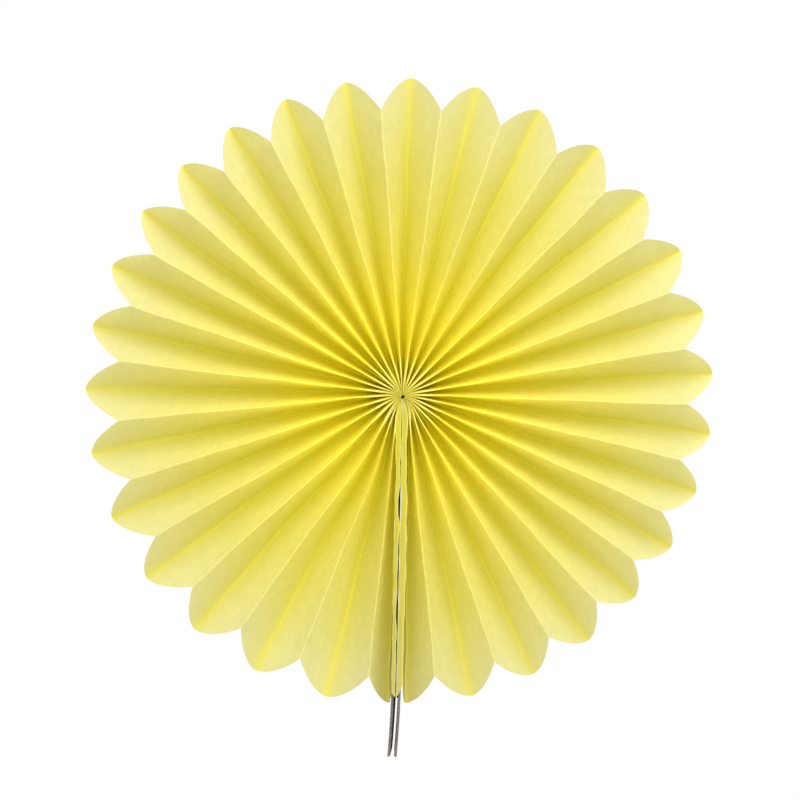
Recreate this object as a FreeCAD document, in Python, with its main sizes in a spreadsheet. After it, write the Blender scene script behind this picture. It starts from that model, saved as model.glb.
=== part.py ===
import FreeCAD, Part
import Sketcher
import math
import os

# Paper fan rosette: one long strip of yellow tissue, folded in pleats and
# opened into a full disc. The two ends of the strip meet at the bottom, and
# each is wrapped round the front edge of a strip of grey board. The boards
# stick out below the disc as two tabs. A thread runs through every pleat
# near the middle and draws the folds together round a small hole.
#
# Frame: the disc stands upright in the X-Z plane and faces -Y. +Z is up, the
# seam and the tabs point to -Z, and the origin is the middle of the hub.

document = FreeCAD.newDocument("paper_fan_rosette")
sizes = document.addObject("Spreadsheet::Sheet", "Sizes")

# Driving sizes in millimetres, leans in degrees, spread in percent of a turn,
# counts and the form of the rim as plain numbers
driving_sizes = [
    ("tip_radius", 150.0, "hub centre to the tip of a petal"),
    ("notch_radius", 135.0, "hub centre to the notch between two petals"),
    ("seam_notch_radius", 138.0, "hub centre to the paper's edge on the boards"),
    ("rim_curve", 1.6, "form of the cut edge, 1 for straight flanks, 2 for round"),
    ("hub_hole_radius", 1.4, "hub centre to the inner end of the folds"),
    ("panel_width", 21.0, "width of one pleat from fold to fold"),
    ("least_fold_depth", 5.0, "depth that the flattest fold keeps"),
    ("paper_thickness", 0.1, "thickness of the tissue"),
    ("petal_count", 30, "full petals, each with one fold to the front"),
    ("tip_gap", 9.7, "between the two last back folds at the rim"),
    ("inner_gap", 4.6, "between the two last back folds beside the hub"),
    ("seam_spread", 2.2, "run in which the seam widens from the hub to the boards"),
    ("seam_reach", 4.0, "number of folds over which the seam's lean dies out"),
    ("spread_one", 0.73, "uneven opening, half a wave round the disc"),
    ("spread_two", 0.53, "uneven opening, one wave"),
    ("spread_three", 0.35, "uneven opening, one wave and a half"),
    ("spread_four", 0.32, "uneven opening, two waves"),
    ("spread_five", -0.23, "uneven opening, two waves and a half"),
    ("board_width", 20.0, "depth of a board from front edge to back edge"),
    ("board_thickness", 1.2, "thickness of the grey board"),
    ("board_start", 10.0, "hub centre to the inner end of a board"),
    ("board_end", 172.0, "hub centre to the outer end of a tab"),
    ("board_gap", 2.1, "between the boards at their front edges"),
    ("left_lean", 5.6, "lean of the left board from front to back"),
    ("right_lean", 2.2, "lean of the right board from front to back"),
    ("glue_gap", 0.1, "room for glue between board and tissue"),
    ("flap_width", 15.0, "tissue glued down inside the seam"),
    ("thread_ring_radius", 5.0, "hub centre to the thread"),
    ("thread_thickness", 0.4, "thickness of the thread"),
    ("thread_room", 0.05, "room round the thread in each hole"),
]
for row, (alias, value, meaning) in enumerate(driving_sizes, start=1):
    sizes.set("A%d" % row, alias)
    sizes.set("B%d" % row, str(value))
    sizes.set("C%d" % row, meaning)
    sizes.setAlias("B%d" % row, alias)
document.recompute()


def size(alias):
    return float(sizes.get(alias))


tip_radius = size("tip_radius")
notch_radius = size("notch_radius")
seam_notch_radius = size("seam_notch_radius")
rim_curve = size("rim_curve")
hub_hole_radius = size("hub_hole_radius")
panel_width = size("panel_width")
least_fold_depth = size("least_fold_depth")
paper_thickness = size("paper_thickness")
petal_count = int(size("petal_count"))
tip_gap = size("tip_gap")
inner_gap = size("inner_gap")
seam_spread = size("seam_spread")
seam_reach = size("seam_reach")
spread_waves = [size("spread_" + number) for number in ("one", "two", "three", "four", "five")]
board_width = size("board_width")
board_thickness = size("board_thickness")
board_gap = size("board_gap")
left_lean = math.radians(size("left_lean"))
right_lean = math.radians(size("right_lean"))
glue_gap = size("glue_gap")
flap_width = size("flap_width")
thread_ring_radius = size("thread_ring_radius")
thread_thickness = size("thread_thickness")

# The strip is described by its creases, in order from the left flap's free
# edge round the disc to the right flap's free edge. A crease is a point in
# the unrolled plane of one radius: along is the way round, clockwise from
# the seam as seen from the front, and depth is the distance behind the
# disc's middle. Every crease keeps its own kind:
FREE_EDGE = "free edge"
FRONT_FOLD = "front fold"
BACK_FOLD = "back fold"

crease_kinds = [FREE_EDGE, FRONT_FOLD, FRONT_FOLD, BACK_FOLD]
for petal in range(petal_count):
    crease_kinds += [FRONT_FOLD, BACK_FOLD]
crease_kinds += [FRONT_FOLD, FRONT_FOLD, FREE_EDGE]
first_back_fold = 3
last_back_fold = first_back_fold + 2 * petal_count
seam_lean = (math.tan(left_lean) + math.tan(right_lean)) / 2


def seam_opening(radius):
    """Share of its full width that the seam has reached, 0 at the hub hole."""
    return 1 - math.exp(-(radius - hub_hole_radius) / seam_spread)


def along_seam(x, radius):
    """Way round the disc of a point at x beside the seam, left counting up."""
    return radius * math.asin(-x / radius)


def crease_points(radius):
    """Middle of the paper at every crease, as (along, depth), at one radius."""
    opening = seam_opening(radius)
    front = -(board_width / 2 + glue_gap + paper_thickness * 0.65)
    wall = glue_gap + paper_thickness * 0.65
    # Near the hub the two ends of the strip lie against each other
    closed_inner = paper_thickness * 0.8
    closed_outer = paper_thickness * 2.8
    inner_x = closed_inner + opening * (board_gap / 2 - wall - closed_inner)
    outer_x = closed_outer + opening * (board_gap / 2 + board_thickness + wall - closed_outer)
    flap_end = -board_width / 2 + flap_width
    flap_drift = opening * (flap_end - front)
    left_free = along_seam(-inner_x + math.tan(left_lean) * flap_drift, radius)
    right_free = along_seam(inner_x + math.tan(right_lean) * flap_drift, radius)
    turn = 2 * math.pi * radius

    fold_x = paper_thickness * 4.5
    beside_hub = fold_x + opening * (inner_gap / 2 - fold_x)
    fold_x = beside_hub + (tip_gap - inner_gap) / 2 * radius / tip_radius
    first = along_seam(-fold_x, radius)
    open_way = turn - 2 * first
    places = []
    for fold in range(2 * petal_count + 1):
        share = fold / (2 * petal_count)
        for wave, percent in enumerate(spread_waves, start=1):
            share += percent / 100 * math.sin(wave * math.pi * fold / (2 * petal_count))
        places.append(first + open_way * share)

    before = [along_seam(-outer_x, radius)] + places[:-1]
    after = places[1:] + [turn - along_seam(-outer_x, radius)]
    points = [(left_free, flap_end), (along_seam(-inner_x, radius), front), (before[0], front)]
    for fold, place in enumerate(places):
        half_way = (after[fold] - before[fold]) / 2
        half_depth = math.sqrt(max(panel_width ** 2 - half_way ** 2, least_fold_depth ** 2)) / 2
        depth = half_depth if fold % 2 == 0 else -half_depth
        from_seam = min(fold, 2 * petal_count - fold)
        lean = seam_lean * opening ** 2 * math.exp(-((from_seam / seam_reach) ** 2))
        points.append((place - lean * (depth - front), depth))
    points.append((after[-1], front))
    points.append((turn - along_seam(-inner_x, radius), front))
    points.append((turn + right_free, flap_end))
    return points


def unit(vector):
    length = math.hypot(vector[0], vector[1])
    return (vector[0] / length, vector[1] / length)


def paper_sides(points):
    """Front and back surface of the paper at every crease.

    Inside a fold the two layers lie on each other until they part, so the
    inner corner sits one layer off the fold's edge, measured across the panel.
    """
    front_side = []
    back_side = []
    for place, kind in enumerate(crease_kinds):
        here = points[place]
        if kind == FREE_EDGE:
            towards = points[1] if place == 0 else points[-2]
            way = unit((towards[0] - here[0], towards[1] - here[1]))
            side = -1 if place == 0 else 1
            normal = (side * way[1] * paper_thickness / 2, -side * way[0] * paper_thickness / 2)
            front_side.append((here[0] - normal[0], here[1] - normal[1]))
            back_side.append((here[0] + normal[0], here[1] + normal[1]))
            continue
        one = unit((points[place - 1][0] - here[0], points[place - 1][1] - here[1]))
        two = unit((points[place + 1][0] - here[0], points[place + 1][1] - here[1]))
        inward = unit((one[0] + two[0], one[1] + two[1]))
        half_angle_sine = abs(inward[0] * two[1] - inward[1] * two[0])
        deep = paper_thickness / half_angle_sine - paper_thickness / 2
        inner = (here[0] + inward[0] * deep, here[1] + inward[1] * deep)
        outer = (here[0] - inward[0] * paper_thickness / 2, here[1] - inward[1] * paper_thickness / 2)
        front_side.append(inner if kind == BACK_FOLD else outer)
        back_side.append(outer if kind == BACK_FOLD else inner)
    return front_side, back_side


# Radius of the cut edge at every crease: tips at the back folds, notches at
# the front folds. Across a panel the edge falls from the tip in half a
# pointed arch.
rim_radii = []
for place, kind in enumerate(crease_kinds):
    beside_board = place in (1, 2, len(crease_kinds) - 3, len(crease_kinds) - 2)
    if kind == BACK_FOLD:
        rim_radii.append(tip_radius)
    elif kind == FREE_EDGE:
        rim_radii.append((tip_radius + seam_notch_radius) / 2)
    else:
        rim_radii.append(seam_notch_radius if beside_board else notch_radius)

# A panel is twisted: it stands on edge at the hub and leans over at the rim.
# It is laid in rows of flat facets, closer together near the hub, and each
# row is parted into more facets towards the cut edge, where the arch shows.
facets_across = (1, 1, 1, 2, 2, 4, 4, 8)
row_total = len(facets_across) - 1


def place_in_disc(point, radius):
    angle = math.pi + point[0] / radius
    return FreeCAD.Vector(radius * math.sin(angle), point[1], radius * math.cos(angle))


def panel_rows(place):
    """Points of both sides of one panel, row by row from hub to rim."""
    tip = max(rim_radii[place], rim_radii[place + 1])
    notch = min(rim_radii[place], rim_radii[place + 1])
    front_rows = []
    back_rows = []
    for row, facets in enumerate(facets_across):
        station = (row / row_total) ** 2.2
        front_row = []
        back_row = []
        for step in range(facets + 1):
            share = step / facets
            from_tip = share if rim_radii[place] == tip else 1 - share
            rim = tip - (tip - notch) * from_tip ** rim_curve
            radius = hub_hole_radius + (rim - hub_hole_radius) * station
            sides = paper_sides(crease_points(radius))
            for creases, filled in zip(sides, (front_row, back_row)):
                one = creases[place]
                two = creases[place + 1]
                across = (one[0] + (two[0] - one[0]) * share, one[1] + (two[1] - one[1]) * share)
                filled.append(place_in_disc(across, radius))
        front_rows.append(front_row)
        back_rows.append(back_row)
    return front_rows, back_rows


def facet(corners):
    return Part.Face(Part.makePolygon(corners + corners[:1]))


def facets_between(inner, outer):
    """Facets from one row to the next, which has as many parts or twice as many."""
    faces = []
    for step in range(len(inner) - 1):
        if len(outer) == len(inner):
            faces.append(facet([inner[step], outer[step], outer[step + 1]]))
            faces.append(facet([inner[step], outer[step + 1], inner[step + 1]]))
        else:
            middle = outer[2 * step + 1]
            faces.append(facet([inner[step], outer[2 * step], middle]))
            faces.append(facet([inner[step], middle, inner[step + 1]]))
            faces.append(facet([inner[step + 1], middle, outer[2 * step + 2]]))
    return faces


def tissue_facets():
    faces = []
    panel_total = len(crease_kinds) - 1
    for place in range(panel_total):
        front_rows, back_rows = panel_rows(place)
        for row in range(row_total):
            faces += facets_between(front_rows[row], front_rows[row + 1])
            faces += facets_between(back_rows[row], back_rows[row + 1])
        faces += facets_between(front_rows[0], back_rows[0])
        faces += facets_between(front_rows[-1], back_rows[-1])
        if place in (0, panel_total - 1):
            end = 0 if place == 0 else -1
            front_end = [points[end] for points in front_rows]
            back_end = [points[end] for points in back_rows]
            faces += facets_between(front_end, back_end)
    return faces


# Tissue: one closed skin round the folded strip, pierced by the thread
skin = Part.makeShell(tissue_facets())
skin.sewShape()
folded_strip = document.addObject("Part::Feature", "FoldedStrip")
folded_strip.Shape = Part.makeSolid(skin)

# The needle leaves a slit with flat sides in every panel, in a ring
facing_front = FreeCAD.Rotation(FreeCAD.Vector(1, 0, 0), 90)
slit_outside = document.addObject("Part::Cylinder", "SlitOutside")
slit_inside = document.addObject("Part::Cylinder", "SlitInside")
for cylinder, sign in ((slit_outside, "+"), (slit_inside, "-")):
    half_slit = "(Sizes.thread_thickness / 2 + Sizes.thread_room)"
    cylinder.setExpression("Radius", "Sizes.thread_ring_radius %s %s" % (sign, half_slit))
    cylinder.setExpression("Height", "2 * " + half_slit)
    cylinder.Placement = FreeCAD.Placement(FreeCAD.Vector(0, 0, 0), facing_front)
    cylinder.setExpression("Placement.Base.y", half_slit)
slit_ring = document.addObject("Part::Cut", "SlitRing")
slit_ring.Base = slit_outside
slit_ring.Tool = slit_inside

pleated_tissue = document.addObject("Part::Cut", "PleatedTissue")
pleated_tissue.Base = folded_strip
pleated_tissue.Tool = slit_ring
pleated_tissue.Label = "pleated_tissue"

# Thread: drawn tight through the pleats and tied into a ring. Under its pull
# it runs straight between the folds, so the ring has many short sides.
thread_runs = 36
thread_sides = 8


def thread_section(run):
    """Corners round the thread where two straight runs meet."""
    way_round = 2 * math.pi * run / thread_runs
    corners = []
    for side in range(thread_sides):
        turn = 2 * math.pi * side / thread_sides
        radius = thread_ring_radius + thread_thickness / 2 * math.cos(turn)
        depth = thread_thickness / 2 * math.sin(turn)
        corners.append(FreeCAD.Vector(radius * math.sin(way_round), depth, radius * math.cos(way_round)))
    return corners


thread_faces = []
for run in range(thread_runs):
    start = thread_section(run)
    end = thread_section((run + 1) % thread_runs)
    for side in range(thread_sides):
        beside = (side + 1) % thread_sides
        thread_faces.append(facet([start[side], end[side], end[beside], start[beside]]))
thread_skin = Part.makeShell(thread_faces)
thread_skin.sewShape()
binding_thread = document.addObject("Part::Feature", "BindingThread")
binding_thread.Shape = Part.makeSolid(thread_skin)
binding_thread.Label = "binding_thread"


def origin_plane(body, role):
    return next(plane for plane in body.Origin.OriginFeatures if plane.Role == role)


def board(label, side, lean):
    """Strip of grey board standing on edge; side is -1 on the left, 1 on the right."""
    body = document.addObject("PartDesign::Body", label.title().replace("_", ""))
    body.Label = label
    outline = body.newObject("Sketcher::SketchObject", body.Name + "Outline")
    outline.AttachmentSupport = [(origin_plane(body, "XY_Plane"), "")]
    outline.MapMode = "FlatFace"
    corners = [(0, 0), (side, 0), (side, 20), (0, 20)]
    for number, corner in enumerate(corners):
        following = corners[(number + 1) % 4]
        outline.addGeometry(Part.LineSegment(FreeCAD.Vector(corner[0], corner[1], 0),
                                             FreeCAD.Vector(following[0], following[1], 0)))
    for number in range(4):
        outline.addConstraint(Sketcher.Constraint("Coincident", number, 2, (number + 1) % 4, 1))
    for number, direction in enumerate(("Horizontal", "Vertical", "Horizontal", "Vertical")):
        outline.addConstraint(Sketcher.Constraint(direction, number))
    outline.addConstraint(Sketcher.Constraint("Coincident", 0, 1, -1, 1))
    thick = outline.addConstraint(Sketcher.Constraint("DistanceX", 0, 1, 0, 2, float(side)))
    deep = outline.addConstraint(Sketcher.Constraint("DistanceY", 1, 1, 1, 2, 20.0))
    outline.renameConstraint(thick, "thickness")
    outline.renameConstraint(deep, "width")
    sign = "-" if side < 0 else ""
    outline.setExpression("Constraints.thickness", sign + "Sizes.board_thickness")
    outline.setExpression("Constraints.width", "Sizes.board_width")
    length = body.newObject("PartDesign::Pad", body.Name + "Length")
    length.Profile = outline
    length.setExpression("Length", "Sizes.board_end - Sizes.board_start")
    length.Reversed = True
    body.Placement = FreeCAD.Placement(
        FreeCAD.Vector(0, 0, 0), FreeCAD.Rotation(FreeCAD.Vector(0, 0, 1), -1))
    body.setExpression("Placement.Base.x", "%d * Sizes.board_gap / 2" % side)
    body.setExpression("Placement.Base.y", "-Sizes.board_width / 2")
    body.setExpression("Placement.Base.z", "-Sizes.board_start")
    body.setExpression("Placement.Rotation.Angle", "-Sizes." + lean)
    return body


left_board = board("left_board", -1, "left_lean")
right_board = board("right_board", 1, "right_lean")
document.recompute()

for item in document.Objects:
    troubles = [state for state in item.State if state in ("Invalid", "Error")]
    if troubles:
        raise RuntimeError("%s: %s" % (item.Name, ", ".join(troubles)))

os.makedirs("parts", exist_ok=True)
for piece in (pleated_tissue, left_board, right_board, binding_thread):
    if piece.Shape.isNull() or not piece.Shape.isValid():
        raise RuntimeError("%s has no valid shape" % piece.Label)
    piece.Shape.exportStep("parts/%s.step" % piece.Label)
    print("%s: %d solid, %.0f mm3" % (piece.Label, len(piece.Shape.Solids), piece.Shape.Volume))
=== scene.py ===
import bpy
import bmesh
import math
import random
import numpy as np
from mathutils import Matrix, Vector, noise


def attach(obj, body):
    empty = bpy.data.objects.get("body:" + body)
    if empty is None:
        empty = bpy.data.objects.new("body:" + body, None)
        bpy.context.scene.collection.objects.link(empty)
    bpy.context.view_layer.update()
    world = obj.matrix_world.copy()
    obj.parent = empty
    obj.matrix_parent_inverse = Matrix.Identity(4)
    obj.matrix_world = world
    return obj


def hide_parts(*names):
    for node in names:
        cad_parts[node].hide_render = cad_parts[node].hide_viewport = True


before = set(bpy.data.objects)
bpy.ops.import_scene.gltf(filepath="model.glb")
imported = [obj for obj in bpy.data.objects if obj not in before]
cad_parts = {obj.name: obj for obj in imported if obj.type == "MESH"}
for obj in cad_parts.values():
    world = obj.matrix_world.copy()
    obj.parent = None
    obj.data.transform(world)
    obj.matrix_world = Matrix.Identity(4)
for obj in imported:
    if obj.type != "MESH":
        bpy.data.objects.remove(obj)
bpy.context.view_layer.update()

# The pleated tissue: one long strip of thin yellow tissue, folded in pleats
# and drawn open into a disc. Its outer edge is cut in a scallop, and its two
# ends are glued round the front edges of the boards at the bottom.
petals = 30
pleat_width = 0.021
least_depth = 0.005
tip_radius = 0.150
notch_radius = 0.135
rim_curve = 1.6
uneven_cut = 0.0008
hub_radius = 0.0009
strip_start = 0.0014
tip_gap = 0.0077
inner_gap = 0.0046
flap_width = 0.015
full_turn = 2 * math.pi

# The boards that the two ends are glued to, and the room that glue takes
board_width = 0.020
board_thickness = 0.0012
board_gap = 0.0021
board_start = 0.010
left_lean = math.radians(5.6)
right_lean = math.radians(2.2)
paper_off_board = 0.00015

# How the seam opens from the hub outwards, and how many folds it pushes over
seam_spread = 0.0022
seam_reach = 4.0
# Half the seam's width at the hub, to its inner folds, outer folds and first pleat
hub_inner = 0.0001
hub_outer = 0.00026
hub_first = 0.00045

# The disc is drawn open unevenly, in half waves round it, and the pleats
# crowd towards the left board, most of all halfway in
spread_waves = (0.0073, 0.0053, 0.0035, 0.0032, -0.0023)
board_crowding = 0.042
board_crowding_fade = 2.5
inner_crowding = 0.096
inner_crowding_fold = 4.5
inner_crowding_fade = 2.8
inner_radius = 0.02
crowding_reach = 0.04

# Close to the hub a fold beside the seam is kept to this share of its radius
widest_share = 0.95


def seam_side(x, radius):
    """Way round the disc from the bottom to a point at x beside the seam."""
    return radius * math.asin(max(-widest_share, min(widest_share, x / radius)))


def fold_places(radius):
    """Way round and depth of every fold at one radius, left flap first."""
    opening = 1 - math.exp(-(max(radius, strip_start) - strip_start) / seam_spread)
    front = -board_width / 2 - paper_off_board
    inner = hub_inner + opening * (board_gap / 2 - paper_off_board - hub_inner)
    outer = board_gap / 2 + board_thickness + paper_off_board
    outer = hub_outer + opening * (outer - hub_outer)
    flap_end = -board_width / 2 + flap_width
    drift = opening * (flap_end - front)
    first_fold = hub_first + opening * (inner_gap / 2 - hub_first)
    first_fold += (tip_gap - inner_gap) / 2 * radius / tip_radius
    turn = full_turn * radius
    first = seam_side(first_fold, radius)
    places = []
    for fold in range(2 * petals + 1):
        share = fold / (2 * petals)
        for wave, amount in enumerate(spread_waves, start=1):
            share += amount * math.sin(wave * math.pi * fold / (2 * petals))
        crowding = 0
        if fold > 0:
            halfway_in = math.exp(-(max(0, radius - inner_radius) / crowding_reach) ** 2)
            from_crowd = (fold - inner_crowding_fold) / inner_crowding_fade
            crowding = board_crowding * math.exp(-(fold - 1) / board_crowding_fade)
            crowding += inner_crowding * halfway_in * math.exp(-from_crowd ** 2)
        places.append(first + (turn - 2 * first) * share - crowding * radius)
    left_outer = seam_side(outer, radius)
    before = [left_outer] + places[:-1]
    after = places[1:] + [turn - left_outer]
    lean = (math.tan(left_lean) + math.tan(right_lean)) / 2 * opening ** 2
    found = [(seam_side(inner - math.tan(left_lean) * drift, radius), flap_end),
             (seam_side(inner, radius), front), (left_outer, front)]
    for fold, place in enumerate(places):
        half_way = (after[fold] - before[fold]) / 2
        half_depth = math.sqrt(max(pleat_width ** 2 - half_way ** 2, least_depth ** 2)) / 2
        depth = half_depth if fold % 2 == 0 else -half_depth
        from_seam = min(fold, 2 * petals - fold)
        skew = lean * math.exp(-((from_seam / seam_reach) ** 2))
        found.append((place - skew * (depth - front), depth))
    found.append((turn - left_outer, front))
    found.append((turn - seam_side(inner, radius), front))
    found.append((turn - seam_side(inner + math.tan(right_lean) * drift, radius), flap_end))
    return found


# Folds are worked out at many radii and read off between them. A fold made
# by hand wanders in long and short waves, more so towards the loose outer
# edge, and bows most near the hub.
wander_waves = ((0.062, 0.00024), (0.027, 0.00012))
most_bow = 0.0004
chance = random.Random(7)
radii = np.concatenate([np.linspace(hub_radius, inner_radius, 120),
                        np.linspace(inner_radius + 0.0005, tip_radius + 0.001, 160)])
folds = np.array([fold_places(radius) for radius in radii]).transpose(1, 0, 2)
# At each end come the flap's cut end and the wrap's two folds. A wrap is
# known by the first of its folds.
end_folds = 3
fold_total = folds.shape[0]
left_wrap = 1
right_wrap = fold_total - end_folds
wander = np.zeros((fold_total, len(radii)))
sway = np.zeros((fold_total, len(radii)))
for fold in range(end_folds, fold_total - end_folds):
    for length, amount in wander_waves:
        freedom = amount * (radii / tip_radius) ** 0.7
        turn_one = chance.uniform(0, full_turn)
        turn_two = chance.uniform(0, full_turn)
        run = length * chance.uniform(0.8, 1.25)
        wander[fold] += freedom * np.sin(full_turn * radii / run + turn_one)
        sway[fold] += freedom * np.sin(full_turn * radii / run + turn_two)
    bow = chance.uniform(-most_bow, most_bow)
    wander[fold] += bow * radii / inner_radius * np.exp(1 - radii / inner_radius)

# Beside the slit the paper is not glued all over: it bulges off the boards'
# front edges, closes the slit in places and is crumpled by handling. These
# are places along the slit, and where its four folds lie beside its middle,
# in millimetres. The left wrap laps in front of the right one.
crumple_waves = ((0.0173, 0.00014, 2), (0.0061, 0.00008, 1))
crumple_depth = 1.6
crumple_start = 0.01
left_lap = 0.0005
millimetre = 0.001
along_slit = (0.002, 0.010, 0.020, 0.033, 0.042, 0.047, 0.056, 0.061,
              0.067, 0.071, 0.092, 0.097, 0.106, 0.112, 0.145)
slit_folds = (
    (left_wrap, -1, (0.1, 0.3, 0.3, 0.35, 0.3, 0.9, 0.95, 0.1, 0.1, 0.6, 0.6, 0.85, 0.9, 0.5, 0.5)),
    (left_wrap + 1, -1, (0.4, 3.3, 2.9, 2.4, 2.4, 2.6, 2.7, 2.5, 2.6, 2.6, 2.5, 2.5, 2.5, 2.4, 2.4)),
    (right_wrap + 1, 1,
     (0.0, -0.05, 0.1, 0.0, 0.0, 0.25, 0.35, -0.05, 0.0, 0.1, 0.1, 0.1, 0.1, 0.05, 0.1)),
    (right_wrap, 1, (0.3, 2.45, 2.5, 2.6, 2.9, 3.2, 3.3, 3.2, 3.4, 3.4, 3.3, 3.2, 3.0, 2.9, 2.9)),
)
for fold, side, beside_slit in slit_folds:
    beside = np.interp(radii, along_slit, beside_slit) * millimetre
    crumple = np.zeros(len(radii))
    for length, amount, turns in crumple_waves:
        crumple += amount * np.sin(full_turn * radii / length + turns * fold)
    loose = np.clip((radii - board_start) / crumple_start, 0, 1)
    beside += crumple * loose
    folds[fold, :, 1] -= crumple_depth * np.abs(crumple[::-1]) * loose
    turn = full_turn * radii
    way = radii * np.arcsin(np.clip(beside / radii, -widest_share, widest_share))
    folds[fold, :, 0] = way if side < 0 else turn - way
folds[left_wrap, :, 1] -= left_lap * np.clip(radii / board_start, 0, 1)

# Where the sheet's points lie across a pleat, closest together at its folds
across = (0, 0.010, 0.022, 0.032, 0.07, 0.15, 0.28, 0.43, 0.58, 0.72, 0.85, 0.93, 0.968, 0.986, 1.0)


def bent(share, sharp_round, soft_round):
    """Depth across a pleat, from a crisp front fold to a softer back fold."""
    whole = 1 - sharp_round / 2 - soft_round / 2
    if share < sharp_round:
        way = share ** 2 / (2 * sharp_round)
    else:
        way = share - sharp_round / 2
    if share > 1 - soft_round:
        way -= (share - 1 + soft_round) ** 2 / (2 * soft_round)
    return way / whole


def swollen(share):
    """Way across a packed pleat: out over the crest's head, back, and out again."""
    head = 0.03
    swell = 0.95
    if share < head:
        return swell * math.sin(math.pi / 2 * share / head)
    if share > 1 - head:
        return 1 - swell * math.sin(math.pi / 2 * (1 - share) / head)
    return swell - (2 * swell - 1) * (share - head) / (1 - 2 * head)


def is_back_fold(fold):
    """Whether a fold is a back one, whose end is the tip of a petal."""
    from_end = fold - end_folds
    return 0 <= from_end <= 2 * petals and from_end % 2 == 0


# The cut edge where the paper wraps the boards
seam_rims = {0: 0.146, left_wrap: 0.143, left_wrap + 1: 0.141,
             right_wrap: 0.137, right_wrap + 1: 0.143, right_wrap + 2: 0.146}
rows = 64
row_crowding = 1.5

# Crests pack together within this radius. The folds are rounded, the valleys
# more so outwards, and each panel bellies out a little of its own.
packed_radius = 0.012
crest_round = 0.025
dip_round = 0.03
outer_dip_round = 0.10
most_belly = 0.00035
belly_length = 0.09

# A crumpled ridge runs in waves down each wrap's front face, with a painted highlight along it
wrap_width = 0.0025
ridge_sway = 0.22
ridge_length = 0.043
ridge_height = 0.0003
ridge_reach = 0.3
ridge_highlight_dullness = 0.15

# How wide the painted highlight along a crest is, partly the pale line of
# the crease, how far a wrap's pale edges reach before its painted shade, and
# how wide a valley's painted shade is: a darker line and a broad golden shade
crest_highlight_width = 0.0003
wrap_edge_line = 0.0004
valley_shade_line = 0.0007
valley_shade_width = 0.007

tissue_points = []
tissue_faces = []
crest_highlights = []
valley_shades = []
for pleat in range(fold_total - 1):
    at_seam = pleat <= left_wrap or pleat >= right_wrap
    on_wrap = pleat in (left_wrap, right_wrap)
    back_first = is_back_fold(pleat)
    rims = []
    for fold in (pleat, pleat + 1):
        if fold in seam_rims:
            rims.append(seam_rims[fold])
        elif is_back_fold(fold):
            rims.append(tip_radius)
        else:
            rims.append(notch_radius - uneven_cut * (0.5 + math.sin(math.pi * fold / petals)))
    rim_one, rim_two = rims
    tip, notch = max(rim_one, rim_two), min(rim_one, rim_two)
    belly = chance.uniform(-most_belly, most_belly)
    belly_turn = chance.uniform(0, full_turn)
    start = len(tissue_points)
    shares = across if not back_first else tuple(1 - share for share in reversed(across))
    for row in range(rows + 1):
        station = (row / rows) ** row_crowding
        for share in shares:
            from_tip = share if rim_one == tip else 1 - share
            rim = tip - (tip - notch) * from_tip ** rim_curve
            radius = hub_radius + (rim - hub_radius) * station
            ways = np.array([np.interp(radius, radii, folds[pleat + side, :, 0] + wander[pleat + side])
                             for side in (0, 1)])
            depths = np.array([np.interp(radius, radii, folds[pleat + side, :, 1] + sway[pleat + side])
                               for side in (0, 1)])
            # Packed tight at the hub, each crest swells into a round head that
            # touches the next, and the panels run straight back between them
            packed = 0 if at_seam else math.exp(-(radius / packed_radius) ** 2)
            from_crest = 1 - share if back_first else share
            sideways = from_crest + (swollen(from_crest) - from_crest) * packed
            way = ways[0] + (ways[1] - ways[0]) * (1 - sideways if back_first else sideways)
            outward = radius / tip_radius
            if at_seam:
                depth = depths[0] + (depths[1] - depths[0]) * share
                fold_marks = {0: 1 - share, right_wrap + 1: share}
                from_crest = fold_marks.get(pleat, min(share, 1 - share))
            else:
                crest = 1 if back_first else 0
                profile = bent(from_crest, crest_round, dip_round + outer_dip_round * outward ** 2)
                depth = depths[crest] + (depths[1 - crest] - depths[crest]) * profile
                belly_wave = 1 + math.sin(full_turn * radius / belly_length + belly_turn)
                depth += belly * math.sin(math.pi * share) * outward * belly_wave
            if on_wrap:
                ridge = 0.5 + ridge_sway * math.sin(full_turn * radius / ridge_length + pleat)
                from_ridge = abs(share - ridge)
                rise = max(0, 1 - from_ridge / ridge_reach) * min(1, radius / inner_radius)
                depth -= ridge_height * rise
                from_crest = min(from_crest, from_ridge + ridge_highlight_dullness)
            angle = math.pi + way / radius
            tissue_points.append((radius * math.sin(angle), depth, radius * math.cos(angle)))
            # A wrap's folds carry a painted highlight all along, and its face between
            # them painted shade. A pleat's crest carries a painted highlight, partly the
            # pale line of the crease, palest near the hub and fading outwards, and its
            # valley a painted golden shade.
            if on_wrap:
                edge_way = from_crest * wrap_width
                crest_highlights.append(1.1 * math.exp(-edge_way / crest_highlight_width))
                valley_shades.append(0.9 * (1 - math.exp(-edge_way / wrap_edge_line)))
            else:
                pale = 1 - 0.9 * outward ** 1.5
                pale *= 0.15 + 0.85 * min(1, radius / packed_radius) ** 2
                crest_highlights.append(pale * math.exp(-from_crest * pleat_width / crest_highlight_width))
                dip_way = (1 - from_crest) * pleat_width
                valley_shades.append(0.45 * math.exp(-dip_way / valley_shade_line)
                                 + 0.5 * math.exp(-dip_way / valley_shade_width))
    columns = len(across)
    for row in range(rows):
        for step in range(columns - 1):
            corner = start + row * columns + step
            tissue_faces.append((corner, corner + 1, corner + columns + 1, corner + columns))

tissue_mesh = bpy.data.meshes.new("pleated_tissue_sheet")
tissue_mesh.from_pydata(tissue_points, [], tissue_faces)
for layer_name, marks in (("crest", crest_highlights), ("dip", valley_shades)):
    layer = tissue_mesh.attributes.new(layer_name, "FLOAT", "POINT")
    layer.data.foreach_set("value", marks)
weld_distance = 0.0000005
welding = bmesh.new()
welding.from_mesh(tissue_mesh)
bmesh.ops.remove_doubles(welding, verts=welding.verts, dist=weld_distance)
welding.to_mesh(tissue_mesh)
welding.free()
for face in tissue_mesh.polygons:
    face.use_smooth = True
tissue = bpy.data.objects.new("pleated_tissue_sheet", tissue_mesh)
bpy.context.scene.collection.objects.link(tissue)


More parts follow.
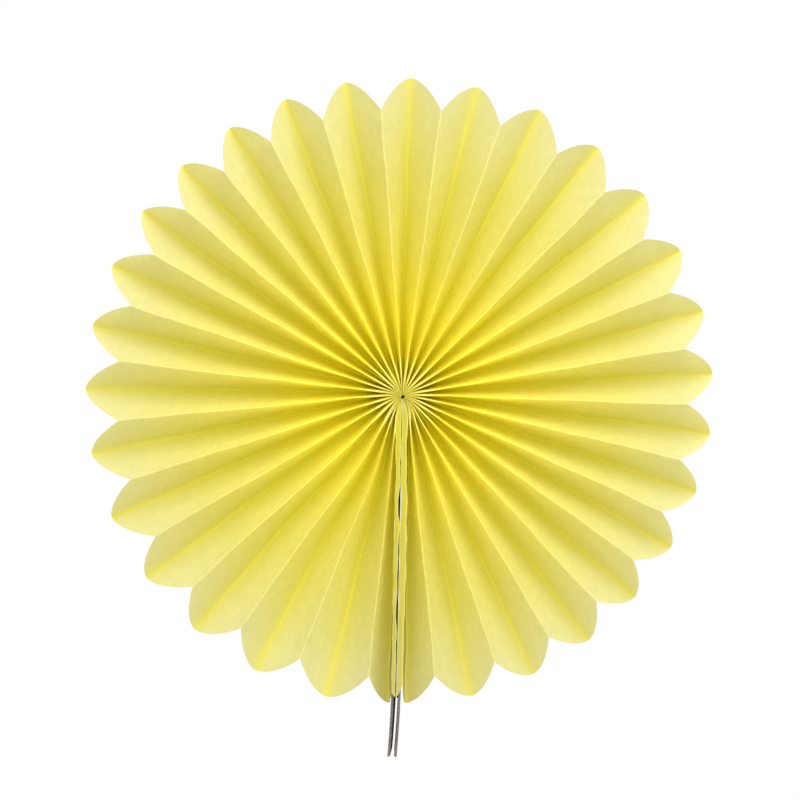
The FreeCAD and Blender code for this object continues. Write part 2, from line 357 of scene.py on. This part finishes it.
def new_finish(name):
    """A bare material: its node tree, its output and a maker of nodes."""
    finish = bpy.data.materials.new(name)
    finish.use_nodes = True
    finish.node_tree.nodes.clear()
    output = finish.node_tree.nodes.new("ShaderNodeOutputMaterial")

    def node(kind, **settings):
        made = finish.node_tree.nodes.new(kind)
        for setting, value in settings.items():
            setattr(made, setting, value)
        return made

    return finish, output, node, finish.node_tree.links.new


# Dyed yellow tissue with cloudy fibre and fine crinkles, and painted light:
# deep yellow near the hub and paler at the loose rim, a painted highlight on
# the crests, partly the pale line of the crease, and painted shade in the
# valleys. Light shines through it and comes out deeper in colour.
tissue_finish, output, node, link = new_finish("yellow_tissue_paper")
where = node("ShaderNodeTexCoord")
flat = node("ShaderNodeVectorMath", operation="MULTIPLY")
flat.inputs[1].default_value = (1, 0, 1)
link(where.outputs["Object"], flat.inputs[0])
from_hub = node("ShaderNodeVectorMath", operation="LENGTH")
link(flat.outputs["Vector"], from_hub.inputs[0])
way_out = node("ShaderNodeMath", operation="DIVIDE")
way_out.inputs[1].default_value = tip_radius
link(from_hub.outputs["Value"], way_out.inputs[0])
# Painted light: the yellow is deepest and brightest near the hub, standing in for light bounced
# between the crowded pleats, and darker and paler towards the open rim, standing in for light shining
# through
dye_with_painted_light = node("ShaderNodeValToRGB")
dye_light_stops = dye_with_painted_light.color_ramp.elements
dye_light_stops[0].position = 0.0
dye_light_stops[0].color = (0.76, 0.665, 0.03, 1)
dye_light_stops[1].position = 1.0
dye_light_stops[1].color = (0.685, 0.64, 0.34, 1)
for position, colour in ((0.12, (1.0, 0.94, 0.04, 1)), (0.25, (0.97, 0.905, 0.055, 1)),
                         (0.45, (0.855, 0.785, 0.11, 1)), (0.7, (0.76, 0.70, 0.155, 1))):
    dye_light_stops.new(position).color = colour
link(way_out.outputs["Value"], dye_with_painted_light.inputs["Fac"])
cloud = node("ShaderNodeTexNoise")
cloud.inputs["Scale"].default_value = 260
cloud.inputs["Detail"].default_value = 6
cloud.inputs["Roughness"].default_value = 0.65
link(where.outputs["Object"], cloud.inputs["Vector"])
cloud_range = node("ShaderNodeMapRange")
cloud_range.inputs["From Min"].default_value = 0.3
cloud_range.inputs["From Max"].default_value = 0.7
cloud_range.inputs["To Min"].default_value = 0.93
cloud_range.inputs["To Max"].default_value = 1.04
link(cloud.outputs["Fac"], cloud_range.inputs["Value"])
clouded = node("ShaderNodeVectorMath", operation="SCALE")
link(dye_with_painted_light.outputs["Color"], clouded.inputs[0])
link(cloud_range.outputs["Result"], clouded.inputs["Scale"])
# Where a colour mix takes its share and its two colours, and gives its result
mix_share = 0
mix_first = 6
mix_second = 7
mix_result = 2
crest_mark = node("ShaderNodeAttribute", attribute_name="crest")
dip_mark = node("ShaderNodeAttribute", attribute_name="dip")
crest_share = node("ShaderNodeMath", operation="MULTIPLY")
crest_share.inputs[1].default_value = 0.85
link(crest_mark.outputs["Fac"], crest_share.inputs[0])
# Painted highlight along the crests and along the wraps' folds and ridges, partly the pale line of the
# crease
crest_highlighted = node("ShaderNodeMix", data_type="RGBA")
crest_highlighted.inputs[mix_second].default_value = (1.0, 0.96, 0.44, 1)
link(crest_share.outputs["Value"], crest_highlighted.inputs[mix_share])
link(clouded.outputs["Vector"], crest_highlighted.inputs[mix_first])
dip_share = node("ShaderNodeMath", operation="MULTIPLY")
dip_share.inputs[1].default_value = 0.95
link(dip_mark.outputs["Fac"], dip_share.inputs[0])
# The face is paler than the light that comes through it, as thin tissue's is, and grows paler still
# towards the rim as painted light
face_paling_share = node("ShaderNodeMapRange")
face_paling_share.inputs["To Min"].default_value = 0.05
face_paling_share.inputs["To Max"].default_value = 0.36
link(way_out.outputs["Value"], face_paling_share.inputs["Value"])
face_paled_outwards = node("ShaderNodeMix", data_type="RGBA")
face_paled_outwards.inputs[mix_second].default_value = (0.93, 0.92, 0.60, 1)
link(face_paling_share.outputs["Result"], face_paled_outwards.inputs[mix_share])
link(crest_highlighted.outputs[mix_result], face_paled_outwards.inputs[mix_first])
deepened = node("ShaderNodeMix", data_type="RGBA", blend_type="MULTIPLY")
deepened.inputs[mix_share].default_value = 1.0
deepened.inputs[mix_second].default_value = (1.0, 0.98, 0.5, 1)
link(crest_highlighted.outputs[mix_result], deepened.inputs[mix_first])
# Painted shade: a golden darkening in the valleys and on the wraps' faces between their folds
valley_shaded_colours = []
for shade in (face_paled_outwards, deepened):
    valley_shaded = node("ShaderNodeMix", data_type="RGBA")
    valley_shaded.inputs[mix_second].default_value = (0.76, 0.67, 0.015, 1)
    link(dip_share.outputs["Value"], valley_shaded.inputs[mix_share])
    link(shade.outputs[mix_result], valley_shaded.inputs[mix_first])
    valley_shaded_colours.append(valley_shaded)
face_shade, through_shade = valley_shaded_colours
crinkle = node("ShaderNodeTexNoise")
crinkle.inputs["Scale"].default_value = 90
crinkle.inputs["Detail"].default_value = 8
crinkle.inputs["Roughness"].default_value = 0.6
link(where.outputs["Object"], crinkle.inputs["Vector"])
crinkled = node("ShaderNodeBump")
crinkled.inputs["Strength"].default_value = 0.16
crinkled.inputs["Distance"].default_value = 0.0004
link(crinkle.outputs["Fac"], crinkled.inputs["Height"])
paper_face = node("ShaderNodeBsdfPrincipled")
paper_face.inputs["Roughness"].default_value = 0.62
paper_face.inputs["Specular IOR Level"].default_value = 0.25
link(face_shade.outputs[mix_result], paper_face.inputs["Base Color"])
link(crinkled.outputs["Normal"], paper_face.inputs["Normal"])
shining_through = node("ShaderNodeBsdfTranslucent")
link(through_shade.outputs[mix_result], shining_through.inputs["Color"])
link(crinkled.outputs["Normal"], shining_through.inputs["Normal"])
thin_paper = node("ShaderNodeMixShader")
thin_paper.inputs["Fac"].default_value = 0.5
link(paper_face.outputs["BSDF"], thin_paper.inputs[1])
link(shining_through.outputs["BSDF"], thin_paper.inputs[2])
link(thin_paper.outputs["Shader"], output.inputs["Surface"])
tissue_mesh.materials.append(tissue_finish)
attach(tissue, "root")
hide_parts("pleated_tissue")

# The boards: two strips of grey board cut on a guillotine, glued into the
# ends of the tissue and left bare where they stand out below the rim.
board_finish, output, node, link = new_finish("grey_board_pulp")
where = node("ShaderNodeTexCoord")
pulp = node("ShaderNodeTexNoise")
pulp.inputs["Scale"].default_value = 900
pulp.inputs["Detail"].default_value = 8
pulp.inputs["Roughness"].default_value = 0.7
link(where.outputs["Object"], pulp.inputs["Vector"])
pulp_colour = node("ShaderNodeValToRGB")
shades = pulp_colour.color_ramp.elements
shades[0].position = 0.32
shades[0].color = (0.035, 0.028, 0.025, 1)
shades[1].position = 0.70
shades[1].color = (0.26, 0.22, 0.20, 1)
link(pulp.outputs["Fac"], pulp_colour.inputs["Fac"])
layers = node("ShaderNodeTexNoise")
layers.inputs["Scale"].default_value = 140
layers.inputs["Detail"].default_value = 4
link(where.outputs["Object"], layers.inputs["Vector"])
layer_range = node("ShaderNodeMapRange")
layer_range.inputs["To Min"].default_value = 0.7
layer_range.inputs["To Max"].default_value = 1.25
link(layers.outputs["Fac"], layer_range.inputs["Value"])
mottled = node("ShaderNodeVectorMath", operation="SCALE")
link(pulp_colour.outputs["Color"], mottled.inputs[0])
link(layer_range.outputs["Result"], mottled.inputs["Scale"])
rough_cut = node("ShaderNodeBump")
rough_cut.inputs["Strength"].default_value = 0.5
rough_cut.inputs["Distance"].default_value = 0.00015
link(pulp.outputs["Fac"], rough_cut.inputs["Height"])
board_face = node("ShaderNodeBsdfPrincipled")
board_face.inputs["Roughness"].default_value = 0.9
board_face.inputs["Specular IOR Level"].default_value = 0.2
link(mottled.outputs["Vector"], board_face.inputs["Base Color"])
link(rough_cut.outputs["Normal"], board_face.inputs["Normal"])
link(board_face.outputs["BSDF"], output.inputs["Surface"])

# The cut edges are slightly rounded and ragged, and the free ends have taken
# a slight bend to the left
board_end = 0.172
bend_start = 0.130
tab_bend = 0.8
corner_round = 0.00008
raggedness = 0.00004
pulp_grain = 900
lengthwise_cuts = 180
for board_name, side, lean in (("left_board", -1, left_lean), ("right_board", 1, right_lean)):
    shaping = bmesh.new()
    bmesh.ops.create_cube(shaping, size=1)
    for corner in shaping.verts:
        corner.co.x = (corner.co.x + 0.5) * board_thickness
        corner.co.y = (corner.co.y + 0.5) * board_width
        corner.co.z = (corner.co.z - 0.5) * (board_end - board_start)
    long_edges = [edge for edge in shaping.edges
                  if abs(edge.verts[0].co.z - edge.verts[1].co.z) > board_width * 2]
    bmesh.ops.subdivide_edges(shaping, edges=long_edges, cuts=lengthwise_cuts, use_grid_fill=True)
    bmesh.ops.bevel(shaping, geom=[edge for edge in shaping.edges if edge.calc_face_angle(0) > 1],
                    offset=corner_round, segments=2, affect="EDGES", clamp_overlap=True)
    for corner in shaping.verts:
        ragged = 1 + noise.noise(corner.co * pulp_grain + Vector((side * 40, 0, 0)))
        inside = Vector((board_thickness / 2, board_width / 2, corner.co.z)) - corner.co
        corner.co += inside.normalized() * ragged * raggedness
        if side < 0:
            corner.co.x -= board_thickness
    bmesh.ops.recalc_face_normals(shaping, faces=shaping.faces)
    board_mesh = bpy.data.meshes.new(board_name + "_strip")
    shaping.to_mesh(board_mesh)
    shaping.free()
    place = Matrix.Translation((side * board_gap / 2, -board_width / 2, -board_start))
    board_mesh.transform(place @ Matrix.Rotation(-lean, 4, "Z"))
    for corner in board_mesh.vertices:
        corner.co.x -= tab_bend * max(0, -corner.co.z - bend_start) ** 2
    board = bpy.data.objects.new(board_name + "_strip", board_mesh)
    bpy.context.scene.collection.objects.link(board)
    board_mesh.materials.append(board_finish)
    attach(board, "root")
    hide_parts(board_name)

# The binding thread: two plies of cotton, twisted, drawn tight through a slit
# in every pleat close to the hub.
ring_radius = 0.005
ply_radius = 0.0001
ply_way = 0.9 * ply_radius
ply_sides = 8
twists = 48
steps = twists * 10
thread_points = []
thread_faces = []
for ply in range(2):
    start = len(thread_points)
    for step in range(steps):
        round_disc = full_turn * step / steps
        twist = twists * round_disc + math.pi * ply
        out_way = Vector((math.sin(round_disc), 0, math.cos(round_disc)))
        middle = out_way * (ring_radius + ply_way * math.cos(twist))
        middle += Vector((0, ply_way * math.sin(twist), 0))
        for part in range(ply_sides):
            angle = full_turn * part / ply_sides
            side_way = out_way * math.cos(angle) + Vector((0, math.sin(angle), 0))
            thread_points.append(tuple(middle + side_way * ply_radius))
    for step in range(steps):
        here = start + step * ply_sides
        following = start + (step + 1) % steps * ply_sides
        for part in range(ply_sides):
            beside = (part + 1) % ply_sides
            thread_faces.append((here + part, following + part, following + beside, here + beside))
thread_mesh = bpy.data.meshes.new("binding_thread_plies")
thread_mesh.from_pydata(thread_points, [], thread_faces)
for face in thread_mesh.polygons:
    face.use_smooth = True
thread = bpy.data.objects.new("binding_thread_plies", thread_mesh)
bpy.context.scene.collection.objects.link(thread)
thread_finish, output, node, link = new_finish("cotton_thread")
where = node("ShaderNodeTexCoord")
fibres = node("ShaderNodeTexNoise")
fibres.inputs["Scale"].default_value = 6000
link(where.outputs["Object"], fibres.inputs["Vector"])
fibre_colour = node("ShaderNodeValToRGB")
fibre_colour.color_ramp.elements[0].color = (0.55, 0.52, 0.42, 1)
fibre_colour.color_ramp.elements[1].color = (0.85, 0.82, 0.72, 1)
link(fibres.outputs["Fac"], fibre_colour.inputs["Fac"])
thread_face = node("ShaderNodeBsdfPrincipled")
thread_face.inputs["Roughness"].default_value = 0.85
link(fibre_colour.outputs["Color"], thread_face.inputs["Base Color"])
link(thread_face.outputs["BSDF"], output.inputs["Surface"])
thread_mesh.materials.append(thread_finish)
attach(thread, "root")
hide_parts("binding_thread")

# The setting: a white floor in a white room, lit from above and in front,
# with the light of the room shining through the tissue from behind.
stage_finish, output, node, link = new_finish("white_setting")
seen = node("ShaderNodeLightPath")
white_light = node("ShaderNodeEmission")
white_light.inputs["Strength"].default_value = 1.0
chalk = node("ShaderNodeBsdfDiffuse")
chalk.inputs["Color"].default_value = (0.85, 0.85, 0.85, 1)
either = node("ShaderNodeMixShader")
link(seen.outputs["Is Camera Ray"], either.inputs["Fac"])
link(chalk.outputs["BSDF"], either.inputs[1])
link(white_light.outputs["Emission"], either.inputs[2])
link(either.outputs["Shader"], output.inputs["Surface"])
floor_half = 3.0
floor_drop = 0.55
floor_mesh = bpy.data.meshes.new("white_floor")
floor_mesh.from_pydata([(-floor_half, -floor_half, 0), (floor_half, -floor_half, 0),
                        (floor_half, floor_half, 0), (-floor_half, floor_half, 0)], [], [(0, 1, 2, 3)])
floor = bpy.data.objects.new("white_floor", floor_mesh)
floor.location.z = -floor_drop
bpy.context.scene.collection.objects.link(floor)
floor_mesh.materials.append(stage_finish)

world = bpy.data.worlds.new("white_room")
world.use_nodes = True
room = world.node_tree.nodes["Background"]
room.inputs["Color"].default_value = (1, 1, 1, 1)
room_seen = world.node_tree.nodes.new("ShaderNodeLightPath")
room_light = world.node_tree.nodes.new("ShaderNodeMapRange")
room_light.inputs["To Min"].default_value = 0.75
room_light.inputs["To Max"].default_value = 1.0
world.node_tree.links.new(room_seen.outputs["Is Camera Ray"], room_light.inputs["Value"])
world.node_tree.links.new(room_light.outputs["Result"], room.inputs["Strength"])
bpy.context.scene.world = world
lamps = (("key_from_above", (0.3, -0.8, 1.05), 1.2, 22.5),
         ("fill_in_front", (-0.4, -1.6, 0.1), 1.4, 7.7))
for lamp_name, place, width, power in lamps:
    lamp_data = bpy.data.lights.new(lamp_name, "AREA")
    lamp_data.size = width
    lamp_data.energy = power
    lamp = bpy.data.objects.new(lamp_name, lamp_data)
    lamp.location = place
    lamp.rotation_euler = (-Vector(place)).to_track_quat("-Z", "Y").to_euler()
    bpy.context.scene.collection.objects.link(lamp)

# The camera stands a little to the left of the hub and above it, turned
# slightly, with the hub just above the middle of the picture.
camera_side = math.radians(-2.42)
camera_height = math.radians(4.39)
camera_roll = math.radians(1.2)
camera_distance = 1.2
sensor_width = 36
picture_pixels = 800
pixels_per_metre = 2105.8
hub_in_picture = (401.59, 395.11)
backward = Vector((math.sin(camera_side) * math.cos(camera_height),
                   -math.cos(camera_side) * math.cos(camera_height), math.sin(camera_height)))
level_right = Vector((math.cos(camera_side), math.sin(camera_side), 0))
level_up = backward.cross(level_right)
picture_right = level_right * math.cos(camera_roll) + level_up * math.sin(camera_roll)
picture_up = level_up * math.cos(camera_roll) - level_right * math.sin(camera_roll)
right_shift = (picture_pixels / 2 - hub_in_picture[0]) / pixels_per_metre
up_shift = (hub_in_picture[1] - picture_pixels / 2) / pixels_per_metre
camera_place = backward * camera_distance + picture_right * right_shift + picture_up * up_shift
camera_data = bpy.data.cameras.new("camera")
camera_data.sensor_width = sensor_width
camera_data.lens = sensor_width * camera_distance * pixels_per_metre / picture_pixels
camera_data.clip_start = 0.01
camera = bpy.data.objects.new("camera", camera_data)
turned = Matrix((picture_right, picture_up, backward)).transposed().to_4x4()
camera.matrix_world = Matrix.Translation(camera_place) @ turned
bpy.context.scene.collection.objects.link(camera)
bpy.context.scene.camera = camera
bpy.context.scene.view_settings.view_transform = "Standard"

bpy.context.view_layer.update()
